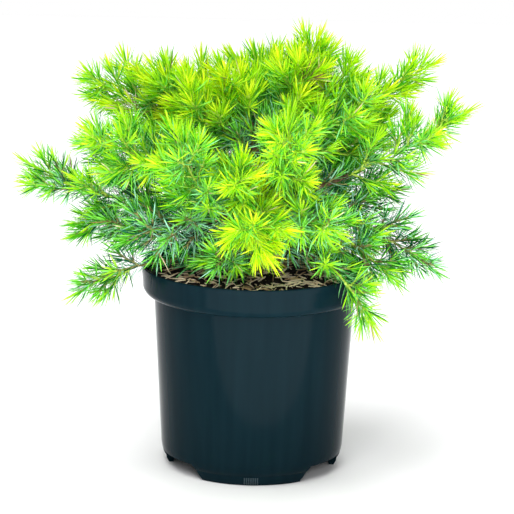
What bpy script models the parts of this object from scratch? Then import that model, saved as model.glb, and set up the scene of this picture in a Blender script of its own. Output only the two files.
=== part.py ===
"""Potted all gold juniper in metres: pot, growing medium, stem, boughs and foliage masses."""

import math
import random
from collections import namedtuple

import bmesh
import bpy
import numpy as np
from mathutils import Matrix

# Place of the pot's axis in the frame, so that the whole outline is centred on the origin.
AXIS_X = 0.0098
AXIS_Y = -0.0090

# Clear gap kept between solids that would touch.
GAP = 0.0003

# Pot sizes.
POT_HEIGHT = 0.1725
RIM_RADIUS = 0.095
BODY_TOP_RADIUS = 0.0842
BODY_FOOT_RADIUS = 0.0768
FOOT_RADIUS = 0.070
WALL = 0.0018
RIM_BAND = 0.025
BASE_UNDERSIDE = 0.0135
BASE_THICKNESS = 0.002
FOOT_RING_WIDTH = 0.004
CORNER_HEIGHT = 0.020
CORNER_RISE_SHARE = 0.62
CORNER_FOOT_SHARE = 0.20
CORNER_ROUNDING = 0.0012
FOOT_FLARE = 0.0024
LIP = 0.0008
FLOOR_ROUNDING = 0.002
FLOOR_RISE = 0.004
BAND_INSET = 0.004
BAND_SLOPE = 0.006
BAND_STEP = 0.001
BAND_PROFILE = ((0.0012, 0.010), (0.0030, 0.004), (0.0062, 0.0008))
POT_STEPS = 48
MERGE_DISTANCE = 0.00005

# Notches between the three feet.
NOTCH_BEARINGS = (90.0, -30.0, -150.0)
NOTCH_HALF_ANGLE_GROUND = 24.0
NOTCH_HALF_ANGLE_TOP = 19.0
NOTCH_INNER_RADIUS = 0.055
NOTCH_OUTER_RADIUS = 0.090
NOTCH_FOOT = -0.010

# Growing medium.
SOIL_TOP = 0.1655
SOIL_EDGE_DROP = 0.003
SOIL_FLAT_RADIUS = 0.030
SOIL_SHOULDER_SHARE = 0.72
SOIL_SHOULDER_DROP = 0.4
SOIL_STEPS = 48

# Stem: height above the growing medium, lean at its top and radii.
STEM_HEIGHT = 0.115
STEM_LEAN = (0.010, -0.004)
STEM_FLARE_RADIUS = 0.0125
STEM_LOW_RADIUS = 0.0085
STEM_TOP_RADIUS = 0.0040
STEM_FLARE_HEIGHT = 0.014
STEM_STATIONS = (0.0, 0.02, 0.06, 0.12, 0.35, 0.60, 0.82, 1.0)
STEM_ROUNDNESS = 4

# Boughs.
BOUGH_ROOT_RADIUS = 0.0026
BOUGH_TIP_RADIUS = 0.0017
BOUGH_STATION = 0.016
BOUGH_ROUNDNESS = 1

# Paths of the limbs: the share of the span that each end's direction holds.
LEAVING_LEAD = 0.40
ARRIVING_LEAD = 0.36
PATH_STEPS = 48
STATION_TOLERANCE = 0.0005
UPRIGHT_LIMIT = 0.05

# Side shoots: how they shorten, where they leave, how far they lean out and how they bend.
FIRST_SHOOT_SHARE = 0.05
LAST_SHOOT_SHARE = 0.86
PLACE_SPREAD = (0.1, 0.5)
TURN_SPREAD = 0.25
GOLDEN_ANGLE = math.radians(137.5)
TAPER_SHARE = 0.45
LENGTH_SPREAD = (0.86, 1.14)
LEAVE_ANGLES = (48.0, 60.0)
LEAVE_CLOSING = 14.0
BEND_AHEAD = 0.25
BEND_UP = 0.22
BEND_STRENGTH = 1.2
SHOOT_STATIONS = 9
FEWEST_STATIONS = 3

# Shoots: three-sided twigs that carry whorls of three needles.
LEADER_ROOT_RADIUS = 0.0016
SHOOT_ROOT_RADIUS = 0.0013
SPRAY_CORE_RADIUS = 0.0030
SPRAY_TIP_RADIUS = 0.0020
SPRAY_SWELL = 0.008
WHORL_SPACING = 0.0090
WHORL_TWIST = math.radians(25.0)
NEEDLE_LENGTH = 0.0170
NEEDLE_TIP_ANGLE = math.radians(22.0)
NEEDLE_ROOT_ANGLE = math.radians(58.0)
BUD_LENGTH = 0.011
SHOOT_BARE = 0.004
NEEDLE_SPREAD = (0.88, 1.08)
NEEDLE_PARTS = (1.0, 0.75, 0.55)
NEEDLE_SAMPLE_SHARES = (0.3, 0.55, 0.8, 1.0)
TWIG_STEP = 0.003
YOUNG_TONE = 0.5

# Room kept round shoots and needles.
SPACE_MARGIN = 0.0004
LIMB_MARGIN = 0.0005
SPACE_STEP = 0.004
CLEAR_STEP = 0.00005
END_FACE_SHARE = 0.96
END_FACE_POINTS = 12
RIM_ROOM = 0.002
RIM_INNER_ROOM = 0.006
SOIL_ROOM = 0.001
MM = 0.001

# One row per foliage mass. Bearings in degrees: 0 is to the right, -90 is to the front.
# reach and height place the tip from the pot's axis and the top of the growing medium, in mm.
# leave is the height on the stem; rise, fall and turn are the slopes and swing at both ends.
# bare is the share of the path without needles; bough says whether that share is a bough.
LIMB_FIELDS = "name bearing reach height leave rise fall turn bare bough shoots length tone seed"
Limb = namedtuple("Limb", LIMB_FIELDS)
LIMBS = (
    Limb("left_arm", -176, 198, 98, 56, 3, 38, 0, 0.42, True, 6, 40, 0.45, 11),
    Limb("left_under", -177, 158, 40, 21, 4, -6, 0, 0.45, True, 5, 36, 0.3, 41),
    Limb("left_droop", -163, 160, -16, 16, -5, -40, 0, 0.56, True, 3, 24, 0.35, 12),
    Limb("left_crest", 173, 152, 158, 61, 43, 8, 0, 0.45, True, 6, 44, 0.7, 13),
    Limb("left_front", -150, 164, 138, 71, 20, 36, 0, 0.42, True, 6, 44, 0.7, 14),
    Limb("left_top", 176, 92, 180, 86, 60, 66, 0, 0.4, True, 6, 46, 0.85, 15),
    Limb("left_inner", -140, 66, 172, 98, 36, 34, 120, 0.36, False, 4, 38, 0.85, 16),
    Limb("left_back", 160, 160, 100, 46, 19, 22, 0, 0.42, True, 5, 42, 0.35, 17),
    Limb("left_low", -151, 126, 40, 42, 9, -8, 0, 0.4, True, 5, 40, 0.25, 18),
    Limb("front_left", -122, 124, 146, 32, 23, 70, 0, 0.4, True, 6, 42, 0.55, 19),
    Limb("front_upper", -88, 118, 140, 70, 18, -4, -88, 0.4, True, 5, 40, 0.75, 20),
    Limb("front_middle", -87, 110, 106, 50, 38, 12, 84, 0.36, False, 5, 38, 0.8, 21),
    Limb("front_bright", -84, 132, 38, 37, 43, -42, 52, 0.36, True, 6, 38, 1.0, 22),
    Limb("front_right", -55, 130, 54, 23, 38, -22, 26, 0.36, True, 5, 40, 0.5, 23),
    Limb("front_low", -112, 92, 22, 14, 16, -10, 0, 0.4, False, 3, 28, 0.35, 24),
    Limb("top_left", -160, 46, 176, 106, 52, 30, -10, 0.34, False, 4, 36, 0.9, 25),
    Limb("top_middle", -47, 34, 190, 110, 68, 20, -120, 0.3, False, 5, 38, 0.85, 26),
    Limb("top_peak", 12, 54, 206, 106, 33, 56, 30, 0.3, False, 5, 38, 0.9, 27),
    Limb("top_right", -6, 86, 188, 99, 22, 46, 0, 0.32, False, 5, 38, 0.75, 42),
    Limb("right_edge", -24, 112, 160, 80, 33, 24, 0, 0.34, True, 5, 38, 0.65, 28),
    Limb("right_wisp", 13, 158, 178, 89, 26, 26, 0, 0.56, True, 3, 22, 0.8, 29),
    Limb("right_arm", -10, 182, 150, 56, 18, 32, 0, 0.42, True, 6, 34, 0.6, 30),
    Limb("right_back", 19, 122, 138, 71, 28, 56, 0, 0.42, True, 5, 34, 0.7, 31),
    Limb("right_low", 17, 132, 66, 26, 19, -4, 0, 0.4, True, 5, 34, 0.3, 32),
    Limb("right_droop", -8, 158, 4, 41, 33, -34, 0, 0.4, True, 6, 34, 0.15, 33),
    Limb("right_hang", -21, 132, -2, 34, 26, -44, 0, 0.4, False, 4, 30, 0.4, 43),
    Limb("rim_droop", -43, 136, -30, 18, 30, -62, 0, 0.46, True, 4, 24, 0.5, 34),
    Limb("back_left", 132, 140, 118, 58, 30, 30, 0, 0.4, True, 5, 44, 0.45, 35),
    Limb("back_middle", 92, 138, 132, 74, 30, 32, 0, 0.4, True, 5, 46, 0.6, 36),
    Limb("back_right", 48, 140, 120, 52, 30, 28, 0, 0.4, True, 5, 44, 0.5, 37),
    Limb("back_low_left", 115, 140, 46, 30, 22, -6, 0, 0.4, True, 5, 42, 0.3, 38),
    Limb("back_low_right", 62, 142, 44, 24, 22, -8, 0, 0.4, True, 5, 42, 0.3, 39),
    Limb("back_top", 88, 66, 182, 98, 46, 44, 0, 0.34, False, 5, 42, 0.8, 40),
)


def clear_scene():
    """Remove every object that is already in the file."""
    for obj in list(bpy.data.objects):
        bpy.data.objects.remove(obj, do_unlink=True)


def unit(vector):
    """Return the vector at length one."""
    return vector / np.linalg.norm(vector)


def aim(bearing, slope):
    """Return the direction with a bearing and a slope above the level, both in degrees."""
    turn = math.radians(bearing)
    lift = math.radians(slope)
    return np.array((math.cos(turn) * math.cos(lift), math.sin(turn) * math.cos(lift), math.sin(lift)))


def resample(points, step):
    """Return the polyline with even stations about one step apart."""
    lengths = np.concatenate(([0.0], np.cumsum(np.linalg.norm(np.diff(points, axis=0), axis=1))))
    count = max(1, round(lengths[-1] / step))
    stations = np.linspace(0.0, lengths[-1], count + 1)
    return np.stack([np.interp(stations, lengths, points[:, axis]) for axis in range(3)], axis=1)


def cut_path(points, start, end):
    """Return the stretch of a polyline between two lengths measured from its start."""
    lengths = np.concatenate(([0.0], np.cumsum(np.linalg.norm(np.diff(points, axis=0), axis=1))))
    inside = lengths[(lengths > start + STATION_TOLERANCE) & (lengths < end - STATION_TOLERANCE)]
    stations = np.concatenate(([start], inside, [end]))
    return np.stack([np.interp(stations, lengths, points[:, axis]) for axis in range(3)], axis=1)


def path_length(points):
    """Return the length of a polyline."""
    return float(np.linalg.norm(np.diff(points, axis=0), axis=1).sum())


def stem_centre(height):
    """Return the stem's centre at a height above the growing medium."""
    share = height / STEM_HEIGHT
    return np.array((STEM_LEAN[0] * share**2, STEM_LEAN[1] * share**2, SOIL_TOP + GAP + height))


def stem_radius(height):
    """Return the stem's radius at a height above the growing medium."""
    flare = max(0.0, 1.0 - height / STEM_FLARE_HEIGHT) ** 2
    taper = STEM_LOW_RADIUS + (STEM_TOP_RADIUS - STEM_LOW_RADIUS) * height / STEM_HEIGHT
    return taper + (STEM_FLARE_RADIUS - STEM_LOW_RADIUS) * flare


def limb_path(limb):
    """Return the curve of a limb from the stem's centre to its tip."""
    start = stem_centre(limb.leave * MM)
    flat = aim(limb.bearing, 0.0)
    tip = flat * limb.reach * MM
    tip[2] = SOIL_TOP + limb.height * MM
    span = np.linalg.norm(tip - start)
    leaving = start + aim(limb.bearing, limb.rise) * span * LEAVING_LEAD
    arriving = tip - aim(limb.bearing + limb.turn, limb.fall) * span * ARRIVING_LEAD
    shares = np.linspace(0.0, 1.0, PATH_STEPS + 1)[:, None]
    rest = 1.0 - shares
    return (
        rest**3 * start
        + 3.0 * rest**2 * shares * leaving
        + 3.0 * rest * shares**2 * arriving
        + shares**3 * tip
    )


def off_stem(points):
    """Return whether every point lies at least the clear gap outside the stem."""
    for point in points:
        height = max(point[2] - SOIL_TOP - GAP, 0.0)
        if height > STEM_HEIGHT + GAP:
            continue
        height = min(height, STEM_HEIGHT)
        centre = stem_centre(height)
        if math.hypot(point[0] - centre[0], point[1] - centre[1]) < stem_radius(height) + GAP:
            return False
    return True


def clear_length(path, radius):
    """Return the length along a path where a limb's end face comes clear of the stem."""
    length = STEM_TOP_RADIUS
    while True:
        place, onward = cut_path(path, length, length + 2.0 * CLEAR_STEP)[[0, -1]]
        tangent = unit(onward - place)
        side = unit(np.cross(tangent, (0.0, 0.0, 1.0)))
        over = np.cross(side, tangent)
        turns = np.linspace(0.0, 2.0 * math.pi, END_FACE_POINTS, endpoint=False)
        reach = radius * END_FACE_SHARE
        rim = [place + reach * (side * math.cos(turn) + over * math.sin(turn)) for turn in turns]
        if off_stem(rim):
            return length
        length += CLEAR_STEP


def limb_spans(limb):
    """Return the limb's path with the lengths where bough and leader start and end."""
    path = limb_path(limb)
    total = path_length(path) - BUD_LENGTH
    clear = clear_length(path, BOUGH_ROOT_RADIUS if limb.bough else LEADER_ROOT_RADIUS)
    return path, clear, total * limb.bare, total


def bough_radius(share):
    """Return a bough's radius at a share of its length."""
    return BOUGH_ROOT_RADIUS + (BOUGH_TIP_RADIUS - BOUGH_ROOT_RADIUS) * share


def build_spaces():
    """Return the points that share out the crown's space, with the limb and radius of each."""
    points = []
    owners = []
    radii = []
    for number, limb in enumerate(LIMBS):
        path, clear, split, total = limb_spans(limb)
        stations = resample(cut_path(path, clear, total), SPACE_STEP)
        points.append(stations)
        owners.append(np.full(len(stations), number))
        radii.append(np.full(len(stations), BOUGH_ROOT_RADIUS))
    heights = np.arange(0.0, STEM_HEIGHT, SPACE_STEP)
    points.append(np.array([stem_centre(height) for height in heights]))
    owners.append(np.full(len(heights), -1))
    radii.append(np.array([stem_radius(height) for height in heights]))
    return np.concatenate(points), np.concatenate(owners), np.concatenate(radii)


def clear_of_pot(points):
    """Return whether every point stays clear of the pot and the growing medium."""
    across = np.hypot(points[:, 0], points[:, 1])
    above = points[:, 2] - POT_HEIGHT
    over_pot = across < RIM_RADIUS + RIM_ROOM
    if np.any(over_pot & (across > RIM_RADIUS - RIM_INNER_ROOM) & (above < RIM_ROOM)):
        return False
    return not np.any(over_pot & (points[:, 2] < SOIL_TOP + SOIL_ROOM))


def in_space(points, number, spaces):
    """Return whether every point keeps to the space of one limb and off all limbs."""
    places, owners, radii = spaces
    apart = np.linalg.norm(points[:, None, :] - places[None, :, :], axis=2)
    own = apart[:, owners == number].min(axis=1)
    others = apart[:, (owners != number) & (owners >= 0)].min(axis=1)
    if np.any(own + 2.0 * SPACE_MARGIN > others):
        return False
    foreign = owners != number
    return not np.any(apart[:, foreign] - radii[foreign] < LIMB_MARGIN)


def shoot_frames(path):
    """Return tangents and a steady pair of side directions along a polyline."""
    tangents = np.gradient(path, axis=0)
    tangents /= np.linalg.norm(tangents, axis=1)[:, None]
    side = np.cross(tangents[0], (0.0, 0.0, 1.0))
    if np.linalg.norm(side) < UPRIGHT_LIMIT:
        side = np.cross(tangents[0], (1.0, 0.0, 0.0))
    sides = []
    for tangent in tangents:
        side = unit(side - tangent * np.dot(side, tangent))
        sides.append(side)
    sides = np.array(sides)
    return tangents, sides, np.cross(tangents, sides)


def side_shoot(start, tangent, side, other, share, limb, turn, rng):
    """Return the curve of one side shoot that leaves the leader."""
    length = limb.length * MM * (1.0 - TAPER_SHARE * share) * rng.uniform(*LENGTH_SPREAD)
    out = side * math.cos(turn) + other * math.sin(turn)
    leave = math.radians(rng.uniform(*LEAVE_ANGLES) - LEAVE_CLOSING * share)
    first = tangent * math.cos(leave) + out * math.sin(leave)
    bend = unit(first + tangent * BEND_AHEAD + np.array((0.0, 0.0, BEND_UP)))
    steps = np.linspace(0.0, 1.0, SHOOT_STATIONS)[:, None]
    return start + length * (steps * first + 0.5 * steps**2 * (bend - first) * BEND_STRENGTH)


def shoots_of(limb):
    """Return the leader and the side shoots of a limb, each as a polyline."""
    rng = random.Random(limb.seed)
    path, clear, split, total = limb_spans(limb)
    start = split + GAP if limb.bough else clear
    leader = cut_path(path, start, total)
    leafy = total - split
    first_leaf = split - start + FIRST_SHOOT_SHARE * leafy
    tangents, sides, others = shoot_frames(leader)
    lengths = np.concatenate(([0.0], np.cumsum(np.linalg.norm(np.diff(leader, axis=0), axis=1))))
    shoots = []
    turn = rng.uniform(0.0, 2.0 * math.pi)
    for number in range(limb.shoots):
        share = (number + rng.uniform(*PLACE_SPREAD)) / limb.shoots * LAST_SHOOT_SHARE
        place = int(np.searchsorted(lengths, first_leaf + share * leafy))
        place = min(place, len(leader) - 2)
        turn += GOLDEN_ANGLE + rng.uniform(-TURN_SPREAD, TURN_SPREAD)
        shoots.append(
            side_shoot(leader[place], tangents[place], sides[place], others[place], share, limb, turn, rng)
        )
    return leader, max(0.0, split - start), shoots


def shortened(path, number, spaces):
    """Return a shoot cut back to the part that keeps to its space, or nothing."""
    for end in range(len(path), FEWEST_STATIONS, -1):
        stretch = path[:end]
        if in_space(stretch[2:], number, spaces) and clear_of_pot(stretch):
            return stretch
    return None


def needle_samples(corners, tip):
    """Return points over a needle that are tested against the space."""
    shares = np.array(NEEDLE_SAMPLE_SHARES)[:, None, None]
    lines = corners[None, :, :] + shares * (tip - corners)[None, :, :]
    return lines.reshape(-1, 3)


def nearest_own(points, own, rest):
    """Return whether every point is nearer to its own twig than to the mass's other twigs."""
    if len(rest) == 0:
        return True
    to_own = np.linalg.norm(points[:, None, :] - own[None, :, :], axis=2).min(axis=1)
    to_rest = np.linalg.norm(points[:, None, :] - rest[None, :, :], axis=2).min(axis=1)
    return bool(np.all(to_own < to_rest))


def spray_radius(along, total, root_radius, bare):
    """Return a twig's radius: bare wood at its root, then the core of its spray of needles."""
    if along < bare:
        return root_radius
    share = (along - bare) / max(total - bare, TWIG_STEP)
    swell = min(1.0, (along - bare) / SPRAY_SWELL)
    core = SPRAY_CORE_RADIUS + (SPRAY_TIP_RADIUS - SPRAY_CORE_RADIUS) * share
    return root_radius + (core - root_radius) * swell


def add_rings(mesh, stations, root_radius, bare):
    """Add the twig's three-cornered rings, each turned a little on from the last."""
    tangents, sides, others = shoot_frames(stations)
    total = path_length(stations)
    rings = []
    for place, centre in enumerate(stations):
        radius = spray_radius(total * place / (len(stations) - 1), total, root_radius, bare)
        ring = []
        for corner in range(3):
            angle = corner * 2.0 * math.pi / 3.0 + place * WHORL_TWIST
            offset = sides[place] * math.cos(angle) + others[place] * math.sin(angle)
            ring.append(mesh.verts.new(centre + offset * radius))
        rings.append(ring)
    return rings, tangents


def needle_tip(corners, middle, tangent, angle, length, room):
    """Return the tip of the needle that rises from one face, shortened to its room, or nothing."""
    number, spaces, own, rest = room
    face_middle = corners.mean(axis=0)
    outward = face_middle - middle
    outward = unit(outward - tangent * np.dot(outward, tangent))
    direction = tangent * math.cos(angle) + outward * math.sin(angle)
    for part in NEEDLE_PARTS:
        tip = face_middle + direction * length * part
        samples = needle_samples(corners, tip)
        if not nearest_own(samples, own, rest) or not clear_of_pot(samples):
            continue
        if in_space(samples, number, spaces):
            return tip
    return None


def needled_twig(name, path, root_radius, bare, room, rng):
    """Return an object for one shoot: a three-sided twig whose faces rise into needles."""
    stations = resample(path, WHORL_SPACING)
    total = path_length(stations)
    mesh = bmesh.new()
    rings, tangents = add_rings(mesh, stations, root_radius, bare)
    mesh.faces.new(list(reversed(rings[0])))
    bud = mesh.verts.new(stations[-1] + tangents[-1] * BUD_LENGTH)
    for corner in range(3):
        mesh.faces.new((rings[-1][corner], rings[-1][(corner + 1) % 3], bud))
    bands = len(stations) - 1
    for place in range(bands):
        middle = (stations[place] + stations[place + 1]) / 2.0
        along = total * (place + 0.5) / bands
        share = max(0.0, along - bare) / max(total - bare, TWIG_STEP)
        angle = NEEDLE_ROOT_ANGLE + (NEEDLE_TIP_ANGLE - NEEDLE_ROOT_ANGLE) * share
        lower, upper = rings[place], rings[place + 1]
        for corner in range(3):
            onward = (corner + 1) % 3
            quad = (lower[corner], lower[onward], upper[onward], upper[corner])
            corners = np.array([vert.co for vert in quad])
            length = NEEDLE_LENGTH * rng.uniform(*NEEDLE_SPREAD)
            tip = None
            if along > bare:
                tip = needle_tip(corners, middle, tangents[place], angle, length, room)
            if tip is None:
                mesh.faces.new(quad)
                continue
            point = mesh.verts.new(tip)
            for edge in range(4):
                mesh.faces.new((quad[edge], quad[(edge + 1) % 4], point))
    bmesh.ops.triangulate(mesh, faces=mesh.faces)
    data = bpy.data.meshes.new(name)
    mesh.to_mesh(data)
    mesh.free()
    return bpy.data.objects.new(name, data)


def join_collection(base, pieces):
    """Fuse a collection of pieces onto the base object with one union, then remove them."""
    union = base.modifiers.new("fuse", "BOOLEAN")
    union.operation = "UNION"
    union.operand_type = "COLLECTION"
    union.collection = pieces
    union.solver = "MANIFOLD"
    graph = bpy.context.evaluated_depsgraph_get()
    fused = bpy.data.meshes.new_from_object(base.evaluated_get(graph))
    base.modifiers.remove(union)
    base.data = fused
    for obj in list(pieces.objects):
        bpy.data.objects.remove(obj, do_unlink=True)
    bpy.data.collections.remove(pieces)


def make_material(name, colour, roughness):
    """Return a plain principled material."""
    material = bpy.data.materials.new(name)
    material.use_nodes = True
    shader = material.node_tree.nodes["Principled BSDF"]
    shader.inputs["Base Color"].default_value = (*colour, 1.0)
    shader.inputs["Roughness"].default_value = roughness
    return material


def link_part(obj, collection, material):
    """Move a part to its place in the frame, give it its material and list it in the plant."""
    obj.data.transform(Matrix.Translation((AXIS_X, AXIS_Y, 0.0)))
    obj.data.materials.clear()
    obj.data.materials.append(material)
    collection.objects.link(obj)


def turned(name, profile, steps):
    """Return a turned solid from a profile of radius and height pairs."""
    mesh = bmesh.new()
    verts = [mesh.verts.new((radius, 0.0, height)) for radius, height in profile]
    for first, second in zip(verts, verts[1:]):
        mesh.edges.new((first, second))
    data = bpy.data.meshes.new(name)
    mesh.to_mesh(data)
    mesh.free()
    obj = bpy.data.objects.new(name, data)
    bpy.context.scene.collection.objects.link(obj)
    screw = obj.modifiers.new("turn", "SCREW")
    screw.axis = "Z"
    screw.steps = steps
    screw.render_steps = steps
    screw.use_merge_vertices = True
    screw.merge_threshold = MERGE_DISTANCE
    apply_modifiers(obj)
    return obj


def apply_modifiers(obj):
    """Replace an object's mesh by its evaluated one and drop the modifiers."""
    graph = bpy.context.evaluated_depsgraph_get()
    data = bpy.data.meshes.new_from_object(obj.evaluated_get(graph))
    obj.modifiers.clear()
    obj.data = data


def pot_profile():
    """Return the pot's profile: up the inside, over the lip, down the outside and under the base."""
    band_foot = POT_HEIGHT - RIM_BAND
    floor = BASE_UNDERSIDE + BASE_THICKNESS
    inside = [
        (0.0, floor),
        (BODY_FOOT_RADIUS - WALL - FLOOR_ROUNDING, floor),
        (BODY_FOOT_RADIUS - WALL, floor + FLOOR_RISE),
        (BODY_TOP_RADIUS - WALL, band_foot - BAND_STEP),
        (RIM_RADIUS - WALL - BAND_INSET, band_foot + BAND_SLOPE),
        (RIM_RADIUS - WALL, POT_HEIGHT - LIP),
    ]
    over = [(RIM_RADIUS - WALL / 2.0, POT_HEIGHT), (RIM_RADIUS, POT_HEIGHT - LIP)]
    band = [(RIM_RADIUS - inset, band_foot + rise) for inset, rise in BAND_PROFILE]
    outside = [
        (BODY_TOP_RADIUS, band_foot),
        (BODY_FOOT_RADIUS, CORNER_HEIGHT),
        (BODY_FOOT_RADIUS - CORNER_ROUNDING, CORNER_HEIGHT * CORNER_RISE_SHARE),
        (FOOT_RADIUS + FOOT_FLARE, CORNER_HEIGHT * CORNER_FOOT_SHARE),
        (FOOT_RADIUS, 0.0),
    ]
    under = [
        (FOOT_RADIUS - FOOT_RING_WIDTH, 0.0),
        (FOOT_RADIUS - FOOT_RING_WIDTH, BASE_UNDERSIDE),
        (0.0, BASE_UNDERSIDE),
    ]
    return inside + over + band + outside + under


def notch_cutter(bearing, cutters):
    """Return a wedge that cuts one notch out of the foot ring."""
    mesh = bmesh.new()
    slope = (NOTCH_HALF_ANGLE_TOP - NOTCH_HALF_ANGLE_GROUND) / BASE_UNDERSIDE
    levels = (
        (NOTCH_FOOT, NOTCH_HALF_ANGLE_GROUND + slope * NOTCH_FOOT),
        (BASE_UNDERSIDE, NOTCH_HALF_ANGLE_TOP),
    )
    verts = []
    for height, half in levels:
        for radius, sign in (
            (NOTCH_INNER_RADIUS, -1),
            (NOTCH_OUTER_RADIUS, -1),
            (NOTCH_OUTER_RADIUS, 1),
            (NOTCH_INNER_RADIUS, 1),
        ):
            turn = math.radians(bearing + sign * half)
            verts.append(mesh.verts.new((radius * math.cos(turn), radius * math.sin(turn), height)))
    bmesh.ops.convex_hull(mesh, input=verts)
    bmesh.ops.recalc_face_normals(mesh, faces=mesh.faces)
    data = bpy.data.meshes.new("notch_cutter")
    mesh.to_mesh(data)
    mesh.free()
    cutter = bpy.data.objects.new("notch_cutter", data)
    cutter.hide_render = True
    cutter.display_type = "WIRE"
    cutters.objects.link(cutter)
    return cutter


def build_pot(collection, material):
    """Build the pot with its rim band and its three feet."""
    pot = turned("pot", pot_profile(), POT_STEPS)
    cutters = bpy.data.collections.new("cutters")
    bpy.context.scene.collection.children.link(cutters)
    for bearing in NOTCH_BEARINGS:
        cut = pot.modifiers.new("notch", "BOOLEAN")
        cut.operation = "DIFFERENCE"
        cut.solver = "EXACT"
        cut.object = notch_cutter(bearing, cutters)
    apply_modifiers(pot)
    for cutter in list(cutters.objects):
        bpy.data.objects.remove(cutter, do_unlink=True)
    bpy.data.collections.remove(cutters)
    bpy.context.scene.collection.objects.unlink(pot)
    link_part(pot, collection, material)


def build_soil(collection, material):
    """Build the growing medium that fills the pot."""
    band_foot = POT_HEIGHT - RIM_BAND
    floor = BASE_UNDERSIDE + BASE_THICKNESS + GAP
    low = BODY_FOOT_RADIUS - WALL - GAP
    high = BODY_TOP_RADIUS - WALL - GAP
    edge = SOIL_TOP - SOIL_EDGE_DROP
    share = (edge - band_foot - BAND_SLOPE) / (RIM_BAND - BAND_SLOPE)
    inner = RIM_RADIUS - WALL - BAND_INSET - GAP
    rim = inner + BAND_INSET * share
    profile = [
        (0.0, SOIL_TOP),
        (SOIL_FLAT_RADIUS, SOIL_TOP),
        (rim * SOIL_SHOULDER_SHARE, SOIL_TOP - SOIL_EDGE_DROP * SOIL_SHOULDER_DROP),
        (rim, edge),
        (inner, band_foot + BAND_SLOPE),
        (high, band_foot - BAND_STEP - GAP),
        (low, floor + FLOOR_RISE),
        (low - FLOOR_ROUNDING, floor),
        (0.0, floor),
    ]
    soil = turned("growing_medium", profile, SOIL_STEPS)
    bpy.context.scene.collection.objects.unlink(soil)
    link_part(soil, collection, material)


def tapered_limb(name, path, radii, roundness, collection, material):
    """Build a limb as a curve with a round section, a radius at each point and filled caps."""
    data = bpy.data.curves.new(name, "CURVE")
    data.dimensions = "3D"
    data.bevel_depth = 1.0
    data.bevel_resolution = roundness
    data.use_fill_caps = True
    spline = data.splines.new("POLY")
    spline.points.add(len(path) - 1)
    for point, place, radius in zip(spline.points, path, radii):
        point.co = (place[0] + AXIS_X, place[1] + AXIS_Y, place[2], 1.0)
        point.radius = radius
    data.materials.append(material)
    collection.objects.link(bpy.data.objects.new(name, data))


def build_stem(collection, material):
    """Build the short stem with its flared foot, cut flat just above the growing medium."""
    heights = [STEM_HEIGHT * share for share in STEM_STATIONS]
    path = [stem_centre(height) for height in heights]
    radii = [stem_radius(height) for height in heights]
    tapered_limb("main_stem", path, radii, STEM_ROUNDNESS, collection, material)


def build_bough(limb, collection, material):
    """Build the bare bough of a limb, from just off the stem to where its foliage starts."""
    path, clear, split, total = limb_spans(limb)
    stretch = resample(cut_path(path, clear, split), BOUGH_STATION)
    radii = [bough_radius(place / (len(stretch) - 1)) for place in range(len(stretch))]
    tapered_limb("bough_" + limb.name, stretch, radii, BOUGH_ROUNDNESS, collection, material)


def build_foliage(number, limb, spaces, collection, material):
    """Build one foliage mass: its leader and side shoots with needles, fused into one solid."""
    rng = random.Random(limb.seed * 7 + 1)
    leader, bare, shoots = shoots_of(limb)
    stretches = [shortened(shoot, number, spaces) for shoot in shoots]
    twigs = [leader] + [stretch for stretch in stretches if stretch is not None]
    marks = [resample(twig, TWIG_STEP) for twig in twigs]
    pieces = bpy.data.collections.new("pieces")
    bpy.context.scene.collection.children.link(pieces)
    base = None
    for order, twig in enumerate(twigs):
        rest = [mark for place, mark in enumerate(marks) if place != order]
        rest = np.concatenate(rest) if rest else np.empty((0, 3))
        radius = SHOOT_ROOT_RADIUS if order else LEADER_ROOT_RADIUS
        start = SHOOT_BARE if order else bare
        room = (number, spaces, marks[order], rest)
        piece = needled_twig(f"twig_{order}", twig, radius, start, room, rng)
        if order:
            pieces.objects.link(piece)
        else:
            base = piece
    base.name = "foliage_" + limb.name
    bpy.context.scene.collection.objects.link(base)
    join_collection(base, pieces)
    bpy.context.scene.collection.objects.unlink(base)
    link_part(base, collection, material)


def build_plant():
    """Build the pot, the growing medium, the stem, the boughs and the foliage."""
    clear_scene()
    collection = bpy.data.collections.new("potted_all_gold_juniper")
    bpy.context.scene.collection.children.link(collection)
    plastic = make_material("pot_plastic", (0.012, 0.030, 0.040), 0.38)
    soil = make_material("growing_medium", (0.040, 0.022, 0.012), 0.95)
    bark = make_material("bark", (0.120, 0.070, 0.040), 0.85)
    young = make_material("young_needles", (0.360, 0.780, 0.020), 0.50)
    old = make_material("old_needles", (0.060, 0.340, 0.120), 0.50)
    build_pot(collection, plastic)
    build_soil(collection, soil)
    build_stem(collection, bark)
    spaces = build_spaces()
    for number, limb in enumerate(LIMBS):
        if limb.bough:
            build_bough(limb, collection, bark)
        build_foliage(number, limb, spaces, collection, young if limb.tone > YOUNG_TONE else old)


build_plant()
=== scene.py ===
"""Render scene of the potted all gold juniper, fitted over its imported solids, in metres."""

import math
import random
from collections import namedtuple

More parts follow.
